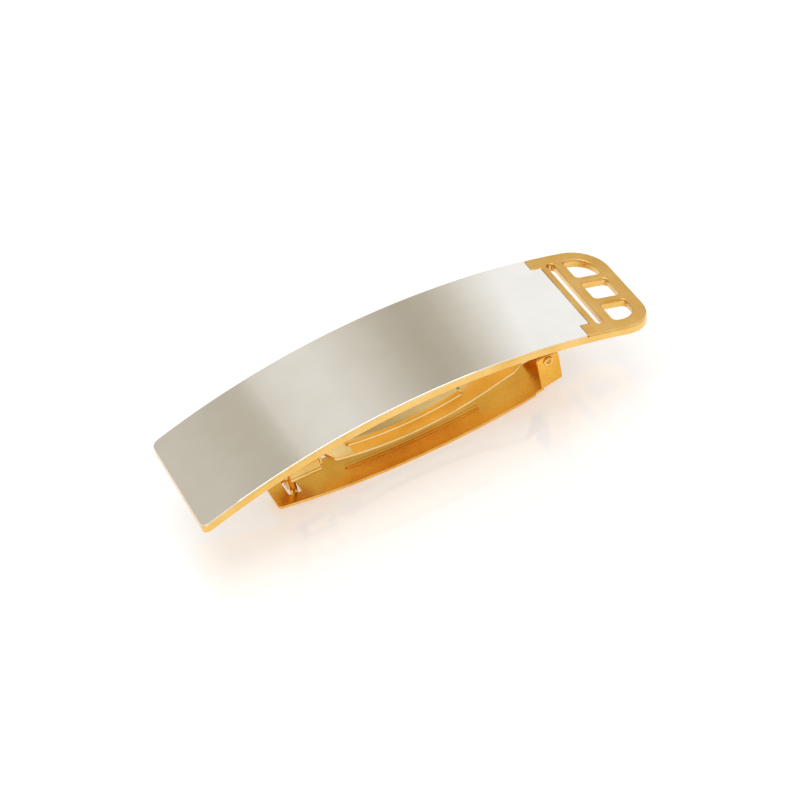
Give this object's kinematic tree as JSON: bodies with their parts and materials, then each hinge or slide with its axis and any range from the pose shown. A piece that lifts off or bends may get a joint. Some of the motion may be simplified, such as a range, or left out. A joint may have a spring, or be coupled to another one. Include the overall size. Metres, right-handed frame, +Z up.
{
  "type": "hair barrette",
  "caption": "Arched two-tone barrette: silver cover sheet and pierced gold end on a gold plate, with a hinged French clip, spring bar and pinch catch below.",
  "frame": {"origin": "on the surface that the barrette rests on, under the middle of its plate", "axes": "+X along the clip towards the pierced end and the hinge, +Y across the plate, +Z up"},
  "size_m": [0.094, 0.0264, 0.0225],
  "materials": {
    "silver_mirror": "polished warm silver",
    "gold_satin": "satin gold plating",
    "gold_plate": "polished gold plating",
    "gold_polished": "polished gold plating",
    "gold_orange": "polished deep gold plating",
    "gold_spring": "polished gold plating on spring strip"
  },
  "bodies": {
    "head": {"cover_sheet": "silver_mirror", "end_ornament": "gold_satin", "back_plate": "gold_plate", "base_strip": "gold_polished", "rivet_hinge_side": "gold_polished", "rivet_catch_side": "gold_polished", "hinge_pin": "gold_polished", "catch_bracket": "gold_polished", "catch_pin_near": "gold_polished", "catch_pin_far": "gold_polished"},
    "closing_bar": {"closing_bar": "gold_orange"},
    "tension_bar": {"tension_bar": "gold_spring"},
    "wing_near": {"catch_wing_near": "gold_polished"},
    "wing_far": {"catch_wing_far": "gold_polished"}
  },
  "joints": [
    {"name": "clip_hinge", "type": "hinge", "parent": "head", "child": "closing_bar", "pos_m": [0.0272, 0, 0.0087], "axis": [0, -1, 0], "range_deg": [0, 75]},
    {"name": "tension_flex", "type": "hinge", "parent": "head", "child": "tension_bar", "pos_m": [0.0272, 0, 0.0087], "axis": [0, 1, 0], "range_deg": [0, 3], "stiffness_Nm_per_rad": 0.05, "springref_deg": -2.86},
    {"name": "pinch_near", "type": "hinge", "parent": "head", "child": "wing_near", "pos_m": [-0.024, -0.0024, 0.0096], "axis": [1, 0, 0], "range_deg": [0, 5], "stiffness_Nm_per_rad": 0.002, "springref_deg": -5.73},
    {"name": "pinch_far", "type": "hinge", "parent": "head", "child": "wing_far", "pos_m": [-0.024, 0.0024, 0.0096], "axis": [-1, 0, 0], "range_deg": [0, 5], "stiffness_Nm_per_rad": 0.002, "springref_deg": -5.73}
  ]
}
